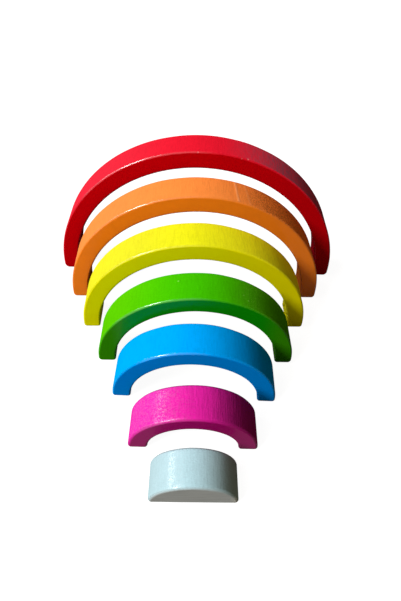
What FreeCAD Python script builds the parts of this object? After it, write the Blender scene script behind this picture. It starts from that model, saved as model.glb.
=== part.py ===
import FreeCAD, Part
import math
import os

# The board, and the cuts that divide it into rings and then halve them
board_depth = 18.0
core_radius = 20.4
wall = 9.5
ring_kerf = 1.5
halving_kerf = 1.5

# Every edge is sanded round, and the feet's corners rounder still, but never past this share
# of the wall
edge_round = 1.0
foot_round = 1.8
most_round_share = 0.3

# The loose pieces stand one behind the other, a little uneven, as hands leave them
row_gap = 6.0
row_shift = 0.9

# From the smallest arch to the largest: the clear gap in front of it and how far to
# the right it stands, as shares of the two sizes above, and its turn to the left
arch_places = {
    "pink_arch": {"gap_share": 1.14, "shift_share": -0.5, "turn_degrees": -0.3},
    "blue_arch": {"gap_share": 1.46, "shift_share": -0.2, "turn_degrees": -1.3},
    "green_arch": {"gap_share": 0.84, "shift_share": 0.3, "turn_degrees": 0.5},
    "yellow_arch": {"gap_share": 1.08, "shift_share": -1.0, "turn_degrees": 1.4},
    "orange_arch": {"gap_share": 0.95, "shift_share": -0.4, "turn_degrees": 1.4},
    "red_arch": {"gap_share": 0.8, "shift_share": 0.7, "turn_degrees": -0.3},
}


def half_width_at_cut(radius):
    """A sawn circle's centre lies half a kerf below the face that the piece stands on."""
    return math.sqrt(radius ** 2 - (halving_kerf / 2) ** 2)


def on_front_face(across, up):
    return FreeCAD.Vector(across, -board_depth / 2, up)


def arc_over(radius):
    """The arc of a sawn circle, from its right end over the crown to its left end."""
    reach = half_width_at_cut(radius)
    crown = on_front_face(0, radius - halving_kerf / 2)
    return Part.Arc(on_front_face(reach, 0), crown, on_front_face(-reach, 0)).toShape()


def straight_cut(start, end):
    """The saw's halving cut, from one distance across the middle to another."""
    return Part.LineSegment(on_front_face(start, 0), on_front_face(end, 0)).toShape()


def rounded(piece, radius, through_the_board):
    """Rounds the edges that run through the board, or else the ones around its two faces."""
    edges = [
        edge for edge in piece.Edges if (edge.BoundBox.YLength > board_depth / 2) == through_the_board
    ]
    return piece.makeFillet(min(radius, wall * most_round_share), edges)


def sanded(outline, corner_round):
    """An outline on the front face, taken back through the board and rounded all over."""
    blank = Part.Face(Part.Wire(outline)).extrude(FreeCAD.Vector(0, board_depth, 0))
    cornered = rounded(blank, corner_round, through_the_board=True)
    return rounded(cornered, edge_round, through_the_board=False)


def half_round(radius):
    """The solid piece that is left in the middle of the board."""
    reach = half_width_at_cut(radius)
    return sanded([arc_over(radius), straight_cut(-reach, reach)], edge_round)


def arch(inner_radius, outer_radius):
    """One half ring, standing on its two sawn feet."""
    inner_reach = half_width_at_cut(inner_radius)
    outer_reach = half_width_at_cut(outer_radius)
    left_foot = straight_cut(-outer_reach, -inner_reach)
    right_foot = straight_cut(inner_reach, outer_reach)
    outline = [arc_over(outer_radius), left_foot, arc_over(inner_radius), right_foot]
    return sanded(outline, foot_round)


def stood(piece, across, back, turn_degrees):
    """The piece turned about its own middle and moved to its place in the row."""
    piece.rotate(FreeCAD.Vector(0, 0, 0), FreeCAD.Vector(0, 0, 1), turn_degrees)
    piece.translate(FreeCAD.Vector(across, back, 0))
    return piece


os.makedirs("parts", exist_ok=True)

half_round(core_radius).exportStep("parts/grey_core.step")

inner_radius = core_radius + ring_kerf
back = 0
for node, place in arch_places.items():
    outer_radius = inner_radius + wall
    across = row_shift * place["shift_share"]
    back += board_depth + row_gap * place["gap_share"]
    piece = stood(arch(inner_radius, outer_radius), across, back, place["turn_degrees"])
    piece.exportStep("parts/" + node + ".step")
    inner_radius = outer_radius + ring_kerf
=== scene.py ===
import math

import bmesh
import bpy
from mathutils import Matrix, Vector, noise


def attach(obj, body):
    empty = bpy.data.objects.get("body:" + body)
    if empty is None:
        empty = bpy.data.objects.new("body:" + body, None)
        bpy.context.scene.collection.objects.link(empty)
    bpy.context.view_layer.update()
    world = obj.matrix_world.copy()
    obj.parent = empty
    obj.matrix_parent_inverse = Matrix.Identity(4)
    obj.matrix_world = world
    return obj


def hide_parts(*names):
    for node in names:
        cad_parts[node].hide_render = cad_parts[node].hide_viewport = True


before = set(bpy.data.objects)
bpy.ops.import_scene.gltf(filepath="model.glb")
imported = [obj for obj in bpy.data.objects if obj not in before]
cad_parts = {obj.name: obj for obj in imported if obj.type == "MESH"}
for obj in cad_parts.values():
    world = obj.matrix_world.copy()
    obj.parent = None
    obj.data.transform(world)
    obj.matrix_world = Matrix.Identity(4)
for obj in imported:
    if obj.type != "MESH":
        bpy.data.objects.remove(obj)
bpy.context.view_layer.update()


# The half round
# The lump that is left in the middle of the board once the rings have been sawn off it: solid
# wood, sanded round at every edge and painted a pale blue grey. Nothing fixes it. It stands
# loose in front on its sawn underside, and the six arches slide up over it.
mm = 0.001
board_depth = 18.0
half_kerf = 0.75
core_radius = 20.4
core_edge_round = 1.4
core_corner_round = 1.8
core_heart = (0.0, 8.0)
core_face_rows = [k / 12 for k in range(12)] + [0.99]
straight_down = math.pi
straight_ahead = math.pi / 2

# The steps that the mesh takes along a foot, round a corner or an edge, over the bow and
# through the board
foot_steps = 6
corner_steps = 10
edge_steps = 6
bow_steps = 132
wall_steps = 14

# The most that comes off in the saw's ripples, where edges are worn and in the sanding, and how
# long each of these is along the wall and through the board
ripple_cut, ripple_along, ripple_through = 0.02, 1.3, 17.0
wear_cut, wear_along, wear_through = 0.22, 13.0, 8.0
sanding_cut, sanding_size = 0.12, 16.0

# How far apart the chances of two kinds of wear, and of two pieces, are taken
wear_apart = 4
pieces_apart = 50


def even(first, last, steps):
    """Numbers from first to last, evenly apart."""
    return [first + (last - first) * k / steps for k in range(steps + 1)]


def on_ring(radius, turn):
    """The place on a sawn ring that lies this far round from the crown, as (x, z)."""
    return radius * math.sin(turn), radius * math.cos(turn) - half_kerf


def down_to(height, radius):
    """How far round from the crown a ring comes down to this height over the table."""
    return math.acos((height + half_kerf) / radius)


def foot(first, last, edge_round, heart):
    """A straight stretch of the saw's halving cut, set back by the sanding of its edges."""
    return [(x, edge_round, straight_down, 0.0, heart) for x in even(first, last, foot_steps)]


def corner(middle, reach, first, last, heart):
    """A corner beside a foot, which sanding has rounded from one wall round to the next."""
    turns = even(first, last, corner_steps)[1:-1]
    return [
        (middle[0] + reach * math.sin(turn), middle[1] + reach * math.cos(turn), turn,
         math.sin(math.pi * (k + 1) / corner_steps), heart)
        for k, turn in enumerate(turns)
    ]


def half_round_outline(edge_round, corner_round):
    """Once round the half round's front face, from the middle of its underside."""
    reach = corner_round - edge_round
    end = down_to(corner_round, core_radius - corner_round)
    left, right = (on_ring(core_radius - corner_round, turn) for turn in (-end, end))
    bow = [
        (*on_ring(core_radius - edge_round, turn), turn, 0.0, core_heart)
        for turn in even(-end, end, bow_steps)
    ]
    halfway, step = 0.5, 0.08
    return (
        foot(0, left[0] * halfway, edge_round, core_heart)
        + foot(left[0] * (halfway + step), left[0], edge_round, core_heart)
        + corner(left, reach, -straight_down, -end, core_heart)
        + bow
        + corner(right, reach, end, straight_down, core_heart)
        + foot(right[0], right[0] * (halfway + step), edge_round, core_heart)
        + foot(right[0] * halfway, right[0] * step, edge_round, core_heart)
    )


def unevenness(*place):
    """Smooth chance from 0 to 1 at a place that is counted in lumps."""
    return 0.5 + 0.5 * noise.noise(Vector(place))


def through_the_board(
    name, outline, face_rows, edge_round, seed, across=0.0, back=0.0, turn_degrees=0.0
):
    """Makes a piece from its outline: two planed faces, rounded edges and the sawn walls between.

    Each outline point is (x, z, the way its wall faces, corner share, heart). The rows of a
    planed face run from the heart out to it. The walls keep the saw's ripples, and hands have
    sanded the edges unevenly, always inwards, but not the feet's flat undersides. The piece is
    then set down in its place. Lengths are in mm until its mesh is finished.
    """
    wall_end = board_depth / 2 - edge_round
    front = [(share, straight_ahead, wall_end) for share in face_rows]
    front += [(1.0, lean, wall_end) for lean in even(straight_ahead, 0, edge_steps)]
    middle = [(1.0, 0.0, -depth) for depth in even(-wall_end, wall_end, wall_steps)[1:-1]]
    rows = front + middle + [(share, -lean, -depth) for share, lean, depth in reversed(front)]

    travels, last = [], None
    for x, z, faces, _, _ in outline:
        here = Vector((x + edge_round * math.sin(faces), z + edge_round * math.cos(faces)))
        travels.append(0.0 if last is None else travels[-1] + (here - last).length)
        last = here
    crown = travels[max(range(len(outline)), key=lambda k: outline[k][1])]

    points, board, cut = [], [], []
    for (x, z, faces, corner_share, heart), travel in zip(outline, travels):
        travel -= crown
        for share, lean, depth in rows:
            sawn = math.cos(lean)
            out = Vector((math.sin(faces) * sawn, -math.sin(lean), math.cos(faces) * sawn))
            at = Vector((heart[0] + (x - heart[0]) * share, -depth, heart[1] + (z - heart[1]) * share))
            at += out * edge_round if share == 1.0 else Vector((0, out.y * edge_round, 0))
            edge = max(math.sin(2 * abs(lean)), corner_share * sawn)
            ripple = unevenness(travel / ripple_along, at.y / ripple_through, seed) * (lean == 0.0)
            wear = unevenness(travel / wear_along, at.y / wear_through, seed + wear_apart) ** 2
            sanding = unevenness(*(Vector((at.x, at.y, at.z + pieces_apart * seed)) / sanding_size))
            worn = ripple_cut * ripple + wear_cut * edge * wear + sanding_cut * sanding
            at -= out * worn * min(1.0, 1.0 + out.z)
            points.append(at)
            board.extend(at)
            cut.extend((travel, sawn, edge))

    quads = []
    for k in range(len(outline)):
        here, after = k * len(rows), (k + 1) % len(outline) * len(rows)
        quads += [(here + j, after + j, after + j + 1, here + j + 1) for j in range(len(rows) - 1)]

    mesh = bpy.data.meshes.new(name)
    mesh.from_pydata(points, [], quads)
    mesh.attributes.new("board", "FLOAT_VECTOR", "POINT").data.foreach_set("vector", board)
    mesh.attributes.new("cut", "FLOAT_VECTOR", "POINT").data.foreach_set("vector", cut)
    mesh.transform(
        Matrix.Translation((across * mm, back * mm, 0))
        @ Matrix.Rotation(math.radians(turn_degrees), 4, "Z")
        @ Matrix.Scale(mm, 4)
    )
    whole = bmesh.new()
    whole.from_mesh(mesh)
    bmesh.ops.remove_doubles(whole, verts=whole.verts, dist=0.0001 * mm)
    bmesh.ops.recalc_face_normals(whole, faces=whole.faces)
    whole.to_mesh(mesh)
    whole.free()
    mesh.shade_smooth()
    piece = bpy.data.objects.new(name, mesh)
    bpy.context.scene.collection.objects.link(piece)
    return piece


def card(*in_light):
    """A colour as a paint card shows it in full light, from red, green and blue up to 255."""
    parts = [part / 255 for part in in_light]
    linear = [part / 12.92 if part <= 0.04 else ((part + 0.055) / 1.055) ** 2.4 for part in parts]
    return (*linear, 1.0)


class Shade:
    """A value that varies over a surface, and that sums can be done with."""

    def __init__(self, nodes, socket):
        self.nodes, self.socket = nodes, socket

    def sum(self, operation, *terms):
        return self.nodes.node("ShaderNodeMath", {"operation": operation}, dict(enumerate(terms)))

    def __add__(self, other):
        return self.sum("ADD", self, other)

    def __sub__(self, other):
        return self.sum("SUBTRACT", self, other)

    def __rsub__(self, other):
        return self.sum("SUBTRACT", other, self)

    def __mul__(self, other):
        return self.sum("MULTIPLY", self, other)

    def __truediv__(self, other):
        return self.sum("DIVIDE", self, other)

    def __abs__(self):
        return self.sum("ABSOLUTE", self)

    __radd__, __rmul__ = __add__, __mul__


class Nodes:
    """The nodes that make up one material, or the room around the table."""

    def __init__(self, owner):
        owner.use_nodes = True
        self.tree = owner.node_tree
        self.tree.nodes.clear()

    def node(self, kind, settings, sockets, result=0):
        """Adds a node: its settings first, then its sockets, and gives back one of its results."""
        made = self.tree.nodes.new(kind)
        for key, value in settings.items():
            setattr(made, key, value)
        for key, value in sockets.items():
            if isinstance(value, Shade):
                self.tree.links.new(value.socket, made.inputs[key])
            else:
                made.inputs[key].default_value = value
        return Shade(self, made.outputs[result]) if made.outputs else None

    def mix(self, share, first, second, blend_type="MIX"):
        """Goes from the first colour to the second as the share goes from 0 to 1."""
        settings = {"data_type": "RGBA", "blend_type": blend_type}
        return self.node("ShaderNodeMix", settings, {0: share, 6: first, 7: second}, result=2)


class Paint(Nodes):
    """A coat of satin paint on one piece, with what shows through it from the wood below.

    What lies in it is placed along the sawn walls from the crown (travel), through the board
    (depth) and across the planed faces (x, z), all in mm. On the walls its colour goes from
    the left flank's over the crown's to the right flank's, within a reach of the crown, as
    painted light and shade, and its planed faces are darker partly as painted shade. Saw
    marks and torn fibres show through it as strongly as is said, and its edges are polished
    left of the crown, as far down as the piece is held.
    """

    # How far apart the chances of two paints are taken
    chances_apart = 7.3

    def __init__(
        self, name, on_sawn, reach, on_planed, seed, torn, held,
        saw_marks=0.8, edge_gloss=0.9, face_gloss=0.0, polish=0.12,
    ):
        self.material = bpy.data.materials.new(name)
        super().__init__(self.material)
        self.seed = seed
        self.x, self.depth, self.z = self.parts_of("board")
        self.travel, self.sawn, self.edge = self.parts_of("cut")
        planed = 1.0 - self.sawn

        # The saw left ripples and broad waves, the brush short flecks and a stipple, and the
        # wood its grain. Each is given by how often it comes in a millimetre, each way.
        self.ripple = self.chance(self.travel * 1.4, self.depth * 0.18, detail=1.0)
        self.fleck = self.chance(self.travel * 0.9, self.depth * 1.3, detail=1.0)
        self.stipple = self.chance(self.x * 1.9, self.depth * 1.9, self.z * 1.9, detail=2.0)
        waves = self.chance(self.travel * 0.2, self.depth * 0.03, detail=1.0)
        self.grain = self.chance(self.x * 0.10, self.z * 1.4, detail=3.0)
        cloud = self.chance(self.x * 0.13, self.depth * 0.13, self.z * 0.13, detail=2.0)

        # The wall's colour goes from its left flank over the crown to its right flank, as painted
        # light and shade
        left, crown, right = on_sawn
        wall_light_and_shade = self.mix(self.rise(self.travel, -reach, 0.0), left, crown)
        wall_light_and_shade = self.mix(self.rise(self.travel, 0.0, reach), wall_light_and_shade, right)
        # The planed faces take their own colour, darker than the walls' partly as painted shade
        self.colour = self.mix(self.sawn, on_planed, wall_light_and_shade)
        self.darker((cloud - 0.42) * 0.5, 0.80)
        self.darker(self.rise(self.ripple, 0.50, 0.60) * self.sawn * (0.22 * saw_marks), 0.70)
        self.darker(self.rise(self.fleck, 0.52, 0.62) * self.sawn * (0.12 * torn), 0.70)
        self.darker(self.rise(self.stipple, 0.56, 0.70) * 0.25, 0.80)

        # The marks can also be felt, by parts of a millimetre, but hardly on the sanded edges
        self.rough = 0.5 + self.fleck * 0.10
        unsanded = self.rise(self.sawn, 0.75, 1.0)
        self.lift = (
            unsanded * (self.ripple * 0.10 + waves * 0.12) * saw_marks
            + unsanded * self.fleck * (0.05 * torn)
            + planed * self.grain * 0.02
            + self.stipple * 0.006
        )

        # Hands have polished the edges from the crown to the left, fading out past where they hold
        by_hands = self.rise(self.travel, 10.0, -8.0) * self.rise(self.travel, -held - 12.0, -held)
        self.gloss = self.edge * (by_hands * 0.95 + 0.05) * edge_gloss + planed * face_gloss
        self.polish = polish

    def parts_of(self, written_on_the_mesh):
        """The three measures that the mesh carries under one name."""
        settings = {"attribute_name": written_on_the_mesh}
        vector = self.node("ShaderNodeAttribute", settings, {}, result="Vector")
        return [self.node("ShaderNodeSeparateXYZ", {}, {0: vector}, result=k) for k in range(3)]

    def chance(self, a, b, c=0.0, detail=2.0):
        """Smooth chance about 0.5 over three measures of the surface."""
        sockets = {0: a, 1: b, 2: c + self.seed * self.chances_apart}
        place = self.node("ShaderNodeCombineXYZ", {}, sockets)
        return self.node("ShaderNodeTexNoise", {}, {"Vector": place, "Scale": 1.0, "Detail": detail})

    def rise(self, value, low, high):
        """Goes smoothly from 0 at low to 1 at high, whichever of the two is the larger."""
        sockets = {"Value": value, "From Min": low, "From Max": high}
        return self.node("ShaderNodeMapRange", {"interpolation_type": "SMOOTHSTEP"}, sockets)

    def sheen(self, first, fullest, last, strength):
        """Lets the outer wall shine in specks, from the first travel to the last."""
        speck = self.rise(self.stipple * 0.5 + self.fleck * 0.5, 0.44, 0.58)
        stretch = self.rise(self.travel, first, fullest) * self.rise(self.travel, last, fullest)
        self.gloss += stretch * self.sawn * (0.2 + speck * 1.2) * strength

    def darker(self, share, by):
        """Darkens the paint by the share: thicker paint in some places, painted shade in others."""
        thick = self.mix(1.0, self.colour, (by, by, by, 1.0), blend_type="MULTIPLY")
        self.colour = self.mix(share, self.colour, thick)

    def tinted(self, share, colour):
        """Mixes in another colour, for what shows through the paint and for painted sheen and
        highlights.
        """
        self.colour = self.mix(share, self.colour, colour)

    def dry(self):
        """Joins everything to the surface and gives back the material."""
        bump = self.node("ShaderNodeBump", {}, {"Distance": mm, "Height": self.lift})
        sockets = {
            "Base Color": self.colour,
            "Roughness": self.rough,
            "Specular IOR Level": 0.0,
            "Coat Weight": self.gloss,
            "Coat Roughness": self.polish,
            "Coat IOR": 1.7,
            "Normal": bump,
        }
        surface = self.node("ShaderNodeBsdfPrincipled", {}, sockets)
        self.node("ShaderNodeOutputMaterial", {}, {"Surface": surface})
        return self.material


grey_half_round = through_the_board(
    "grey_half_round", half_round_outline(core_edge_round, core_corner_round),
    core_face_rows, core_edge_round, seed=1.0,
)
grey_paint = Paint(
    "grey_paint",
    on_sawn=(card(166, 194, 201), card(176, 210, 219), card(158, 184, 186)), reach=21.0,
    on_planed=card(176, 181, 180), seed=1.0, torn=1.1, held=16.0,
    saw_marks=0.5, edge_gloss=0.15, polish=0.25,
)
grey_paint.sheen(-17.0, -9.5, 1.0, 0.8)

# The wood's grain shows on its front face, and pale flecks where the right corner is worn
grain_lines = grey_paint.rise(grey_paint.grain, 0.46, 0.60) * (1.0 - grey_paint.sawn)
grey_paint.darker(grain_lines * 0.7, 0.88)
at_corner = grey_paint.rise(grey_paint.x, 15.5, 18.0) * grey_paint.rise(grey_paint.depth, -8.0, -8.8)
flecked = grey_paint.rise(grey_paint.stipple, 0.50, 0.58) * grey_paint.rise(grey_paint.z, 10.0, 6.0)
grey_paint.tinted(at_corner * flecked * 0.8, card(232, 230, 214))
grey_half_round.data.materials.append(grey_paint.dry())
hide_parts("grey_core")
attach(grey_half_round, "grey_core")


# The pink arch
# The smallest of the six half rings: sawn from round the half round, then cut in two. Solid
# wood, sanded round at every edge, most of all at its two small feet, and painted pink. It
# stands loose behind the half round.
wall = 9.5
arch_face_rows = [0.0, 0.35, 0.7, 0.95]

# The steps that an arch's mesh takes along its walls, and where its outline closes under a foot
mesh_step = 0.45
closing_step = 0.4


def arch_outline(inner_radius, edge_round, corner_round):
    """Once round an arch's front face, from the middle of its left foot."""
    reach = corner_round - edge_round
    middle = inner_radius + wall / 2
    outer_radius = inner_radius + wall
    outer_corners, inner_corners = outer_radius - corner_round, inner_radius + corner_round
    outer_end = down_to(corner_round, outer_corners)
    inner_end = down_to(corner_round, inner_corners)
    outer_left, outer_right = (on_ring(outer_corners, turn) for turn in (-outer_end, outer_end))
    inner_left, inner_right = (on_ring(inner_corners, turn) for turn in (-inner_end, inner_end))

    steps = round(math.pi * middle / mesh_step)
    heart_end = down_to(wall / 2, middle)
    hearts = [on_ring(middle, turn) for turn in even(-heart_end, heart_end, steps)]
    left, right = hearts[0], hearts[-1]
    over = [
        (*on_ring(outer_radius - edge_round, turn), turn, 0.0, heart)
        for turn, heart in zip(even(-outer_end, outer_end, steps), hearts)
    ]
    under = [
        (*on_ring(inner_radius + edge_round, turn), turn + math.pi, 0.0, heart)
        for turn, heart in zip(even(inner_end, -inner_end, steps), reversed(hearts))
    ]
    mid_foot = (outer_left[0] + inner_left[0]) / 2
    return (
        foot(mid_foot, outer_left[0], edge_round, left)
        + corner(outer_left, reach, -straight_down, -outer_end, left)
        + over
        + corner(outer_right, reach, outer_end, straight_down, right)
        + foot(outer_right[0], inner_right[0], edge_round, right)
        + corner(inner_right, reach, straight_down, inner_end + math.pi, right)
        + under
        + corner(inner_left, reach, math.pi - inner_end, straight_down, left)
        + foot(inner_left[0], mid_foot + closing_step, edge_round, left)
    )


def arch(name, inner_radius, edge_round, corner_round, seed, **place):
    """One half ring on its two feet, with its place in the row and its turn there."""
    outline = arch_outline(inner_radius, edge_round, corner_round)
    return through_the_board(name, outline, arch_face_rows, edge_round, seed, **place)


pink_half_ring = arch(
    "pink_half_ring", inner_radius=21.9, edge_round=1.3, corner_round=1.7, seed=2.0,
    across=-0.45, back=24.84, turn_degrees=-0.3,
)
pink_paint = Paint(
    "pink_paint",
    on_sawn=(card(219, 40, 163), card(224, 34, 158), card(164, 26, 110)), reach=24.0,
    on_planed=card(162, 4, 102), seed=2.0, torn=1.5, held=24.0,
    saw_marks=1.4, edge_gloss=0.4, face_gloss=0.11, polish=0.3,
)
pink_paint.sheen(-48.0, -15.0, 6.0, 0.6)
pink_half_ring.data.materials.append(pink_paint.dry())
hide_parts("pink_arch")
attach(pink_half_ring, "pink_arch")


# The blue arch
# The second half ring, sawn from round the pink one. Solid wood, sanded the smoothest of all
# and painted blue. It stands loose, turned a little to the right.
blue_half_ring = arch(
    "blue_half_ring", inner_radius=32.9, edge_round=1.0, corner_round=1.6, seed=3.0,
    across=-0.18, back=51.60, turn_degrees=-1.3,
)
blue_paint = Paint(
    "blue_paint",
    on_sawn=(card(0, 155, 223), card(0, 162, 250), card(0, 154, 243)), reach=34.0,
    on_planed=card(0, 139, 234), seed=3.0, torn=0.5, held=20.0, saw_marks=0.7,
)
blue_half_ring.data.materials.append(blue_paint.dry())
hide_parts("blue_arch")
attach(blue_half_ring, "blue_arch")


# The green arch
# The third half ring, sawn from round the blue one. Solid wood, painted green, with small nibs
# of dust dried into the paint on both sides of its crown. It stands loose.
green_half_ring = arch(
    "green_half_ring", inner_radius=43.9, edge_round=1.0, corner_round=2.0, seed=4.0,
    across=0.27, back=74.64, turn_degrees=0.5,
)
green_paint = Paint(
    "green_paint",
    on_sawn=(card(80, 180, 2), card(63, 187, 2), card(72, 152, 1)), reach=46.0,
    on_planed=card(12, 145, 2), seed=4.0, torn=1.1, held=40.0, saw_marks=0.7, face_gloss=0.25,
)

# Its planed faces are yellower at the feet, and glossy only in a stretch left of the crown
planed = 1.0 - green_paint.sawn
green_paint.tinted(green_paint.rise(abs(green_paint.x), 30.0, 46.0) * planed, card(53, 139, 2))
dull = green_paint.rise(green_paint.x, -30.0, -46.0) + green_paint.rise(green_paint.x, -6.0, 22.0)
green_paint.gloss -= dull * planed * 0.25

# Pale specks lie right of the crown, and three nibs stand up out of the paint
pale_specks = green_paint.rise(green_paint.travel, 16.0, 27.0)
pale_specks *= green_paint.rise(green_paint.travel, 38.0, 31.0) * green_paint.sawn
pale_specks *= green_paint.rise(green_paint.stipple, 0.54, 0.62)
green_paint.tinted(pale_specks * 0.35, card(120, 205, 60))


def near(paint, travel, depth, reach):
    """1 at a place on a sawn wall or its rounded edge, fading to 0 as far off as it reaches."""
    along, through = (paint.travel - travel) / reach, (paint.depth - depth) / reach
    return paint.rise(along * along + through * through, 1.0, 0.2) * paint.rise(paint.sawn, 0.2, 0.5)


# Each nib stands up out of the paint and is painted paler on top as a painted highlight
for travel, depth, size in ((-9.8, 3.3, 0.55), (22.8, -1.6, 0.4), (25.4, -4.2, 0.5)):
    nib_with_highlight = near(green_paint, travel, depth, size)
    green_paint.lift += nib_with_highlight * (0.16 * size)
    green_paint.tinted(nib_with_highlight * 0.4, card(170, 226, 110))
green_half_ring.data.materials.append(green_paint.dry())
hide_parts("green_arch")
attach(green_half_ring, "green_arch")


# The yellow arch
# The fourth half ring, sawn from round the green one. Solid wood, painted yellow, with the
# saw's ripples darkened by painted shade to the right of the crown. It stands loose.
yellow_half_ring = arch(
    "yellow_half_ring", inner_radius=54.9, edge_round=0.9, corner_round=1.6, seed=5.0,
    across=-0.90, back=99.12, turn_degrees=1.4,
)
yellow_paint = Paint(
    "yellow_paint",
    on_sawn=(card(212, 210, 37), card(234, 234, 26), card(254, 248, 28)), reach=36.0,
    on_planed=card(250, 238, 0), seed=5.0, torn=0.8, held=45.0, edge_gloss=0.6,
)
# Painted shade: the saw's ripples are darkened in streaks, more and more to the right of the crown
shade_right_of_crown = yellow_paint.rise(yellow_paint.travel, -20.0, 30.0)
shade_right_of_crown *= yellow_paint.rise(yellow_paint.travel, 80.0, 50.0) * yellow_paint.sawn
streak = yellow_paint.chance(yellow_paint.travel * 2.4, yellow_paint.depth * 0.25)
yellow_paint.darker(shade_right_of_crown * yellow_paint.rise(streak, 0.46, 0.62) * 0.16, 0.6)
yellow_half_ring.data.materials.append(yellow_paint.dry())
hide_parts("yellow_arch")
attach(yellow_half_ring, "yellow_arch")


# The orange arch
# The fifth half ring, sawn from round the yellow one. Solid wood, painted orange. The saw was
# moved on just right of the crown and left a raised line there, with rough wood beyond it.
orange_half_ring = arch(
    "orange_half_ring", inner_radius=65.9, edge_round=0.9, corner_round=2.0, seed=6.0,
    across=-0.36, back=122.82, turn_degrees=1.4,
)
orange_paint = Paint(
    "orange_paint",
    on_sawn=(card(222, 134, 65), card(250, 142, 64), card(255, 134, 52)), reach=50.0,
    on_planed=card(255, 134, 27), seed=6.0, torn=0.9, held=60.0, edge_gloss=0.7, face_gloss=0.06,
)
# Painted shade: the right flank darkens towards its foot, and the inside of the arch is darker all
# through
orange_paint.darker(orange_paint.rise(orange_paint.travel, 60.0, 120.0) * orange_paint.sawn, 0.5)
for travel, lean, strength in ((19.9, -0.06, 1.0), (25.9, -0.12, 0.4)):
    off_line = abs(orange_paint.travel - travel - orange_paint.depth * lean)
    line = orange_paint.rise(off_line, 1.1, 0.1) * orange_paint.rise(orange_paint.sawn, 0.9, 1.0)
    orange_paint.lift += line * (strength * 0.10)
    orange_paint.tinted(line * (strength * 0.35), card(255, 186, 128))
rough_wood = orange_paint.rise(orange_paint.travel, 18.0, 40.0)
rough_wood *= orange_paint.rise(orange_paint.travel, 85.0, 50.0) * orange_paint.sawn
tear = orange_paint.chance(orange_paint.travel * 2.2, orange_paint.depth * 0.9)
rough_wood *= orange_paint.rise(tear, 0.47, 0.57)
orange_paint.darker(rough_wood * 0.9, 0.5)
orange_paint.lift -= rough_wood * 0.05
orange_half_ring.data.materials.append(orange_paint.dry())
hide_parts("orange_arch")
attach(orange_half_ring, "orange_arch")


# The red arch
# The sixth and largest half ring, from the outside of the board. Solid wood, painted red, with
# a greyish sheen painted to the right of its crown, and chipped in three places at its front
# edge. It stands loose at the back.
red_half_ring = arch(
    "red_half_ring", inner_radius=76.9, edge_round=0.9, corner_round=2.6, seed=7.0,
    across=0.63, back=145.62, turn_degrees=-0.3,
)
red_paint = Paint(
    "red_paint",
    on_sawn=(card(212, 38, 56), card(232, 25, 47), card(244, 28, 52)), reach=60.0,
    on_planed=card(203, 0, 12), seed=7.0, torn=1.0, held=68.0,
)
# Painted shade: the right flank darkens towards its foot, and the inside of the arch is darker all
# through
red_paint.darker(red_paint.rise(red_paint.travel, 60.0, 140.0) * red_paint.sawn, 0.36)
# A greyish sheen is painted over the wall right of the crown, streaked along the saw's ripples
painted_sheen = red_paint.rise(red_paint.travel, 8.0, 52.0) * red_paint.rise(red_paint.travel, 125.0, 105.0)
painted_sheen *= red_paint.rise(red_paint.sawn, 0.95, 1.0)
painted_sheen *= 0.6 + red_paint.rise(red_paint.ripple, 0.42, 0.58) * 0.4
red_paint.tinted(painted_sheen * 0.75, card(136, 82, 102))
for travel, depth, size in ((-2.1, -8.8, 0.6), (24.3, -8.1, 0.7), (20.9, -8.9, 0.5)):
    chip = near(red_paint, travel, depth, size)
    red_paint.lift -= chip * 0.12
    red_paint.tinted(chip * 0.35, card(248, 150, 150))
red_half_ring.data.materials.append(red_paint.dry())
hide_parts("red_arch")
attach(red_half_ring, "red_arch")


# The table and the light
# A plain pale table that goes on into a white background. A soft window on the left gives most
# of the light, a lower one behind it gives the wood its sheen, and a skylight and the warm room
# fill in the rest.

# In metres: the table reaches far past the view, and lies a hair's breadth below the feet
table_reach = 3.0
table_drop = 0.0002
table_mesh = bpy.data.meshes.new("table")
table_corners = [
    (x * table_reach, y * table_reach, -table_drop)
    for x, y in ((-1, -1), (1, -1), (1, 1), (-1, 1))
]
table_mesh.from_pydata(table_corners, [], [(0, 1, 2, 3)])
table = bpy.data.objects.new("table", table_mesh)
bpy.context.scene.collection.objects.link(table)


def looked_at(nodes):
    """1 where the eye falls on it, straight, in polish or through glass, and 0 for its light."""
    straight, in_polish, through_glass = (
        nodes.node("ShaderNodeLightPath", {}, {}, f"Is {way} Ray")
        for way in ("Camera", "Glossy", "Transmission")
    )
    return straight.sum("MAXIMUM", straight.sum("MAXIMUM", straight, in_polish), through_glass)


# The eye sees a white table and a white room, but what they throw back on the wood is dim and warm
black, white = (0, 0, 0, 1), (1, 1, 1, 1)
white_table = bpy.data.materials.new("white_table")
top = Nodes(white_table)
seen = looked_at(top)
diffused = top.mix(seen, (0.20, 0.17, 0.13, 1), (0.22, 0.22, 0.22, 1))
matt = top.node("ShaderNodeBsdfDiffuse", {}, {"Color": diffused})
glow = top.node("ShaderNodeEmission", {}, {"Color": top.mix(seen, black, white), "Strength": 0.95})
both = top.node("ShaderNodeAddShader", {}, {0: matt, 1: glow})
top.node("ShaderNodeOutputMaterial", {}, {"Surface": both})
table_mesh.materials.append(white_table)

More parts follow.
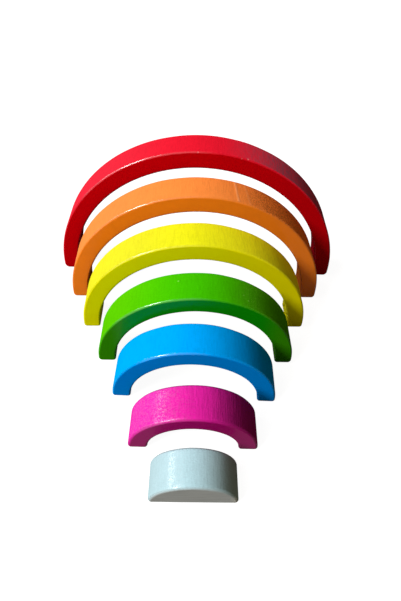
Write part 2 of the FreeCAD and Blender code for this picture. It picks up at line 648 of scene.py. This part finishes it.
bpy.context.scene.world = bpy.data.worlds.new("room")
room = Nodes(bpy.context.scene.world)
walls = room.mix(looked_at(room), (0.110, 0.085, 0.055, 1), white)
backdrop = room.node("ShaderNodeBackground", {}, {"Color": walls})
room.node("ShaderNodeOutputWorld", {}, {"Surface": backdrop})

# Each window is so many degrees from overhead to the left, and runs from front to rear in metres
window_distance = 6.0
window_width = 1.65
row_height = 0.03
for name, degrees, front_end, rear_end, brightness in (
    ("window", 47.0, -4.0, -0.5, 26.4),
    ("side_window", 61.0, -0.5, 3.6, 5.0),
    ("skylight", 33.0, -1.5, 1.5, 5.0),
):
    from_overhead = math.radians(degrees)
    toward_window = Vector((-math.sin(from_overhead), 0, math.cos(from_overhead)))
    across_the_pane = Vector((0, 1, 0)).cross(toward_window)
    facing_the_row = Matrix((across_the_pane, (0, 1, 0), toward_window)).transposed()
    pane = bpy.data.lights.new(name, "AREA")
    pane.shape = "RECTANGLE"
    pane.size, pane.size_y = window_width, rear_end - front_end
    pane.energy = brightness * math.pi * pane.size * pane.size_y
    lamp = bpy.data.objects.new(name, pane)
    middle = toward_window * window_distance + Vector((0, (front_end + rear_end) / 2, row_height))
    lamp.matrix_world = Matrix.Translation(middle) @ facing_the_row.to_4x4()
    bpy.context.scene.collection.objects.link(lamp)


# The camera
# A phone held close above the row, looking down on it from in front. Its place is in metres,
# and it is turned, tipped and rolled in the hand.
phone = bpy.data.cameras.new("phone")
phone.lens = 25.72
phone.shift_x, phone.shift_y = -0.0036, 0.0158
phone.clip_start = 0.01
phone_place = (-0.00396, -0.06562, 0.20185)
camera = bpy.data.objects.new("phone", phone)
camera.matrix_world = (
    Matrix.Translation(phone_place)
    @ Matrix.Rotation(math.radians(-2.80), 4, "Z")
    @ Matrix.Rotation(math.radians(39.96), 4, "X")
    @ Matrix.Rotation(math.radians(3.60), 4, "Z")
)
bpy.context.scene.collection.objects.link(camera)
bpy.context.scene.camera = camera

bpy.context.scene.view_settings.view_transform = "Standard"
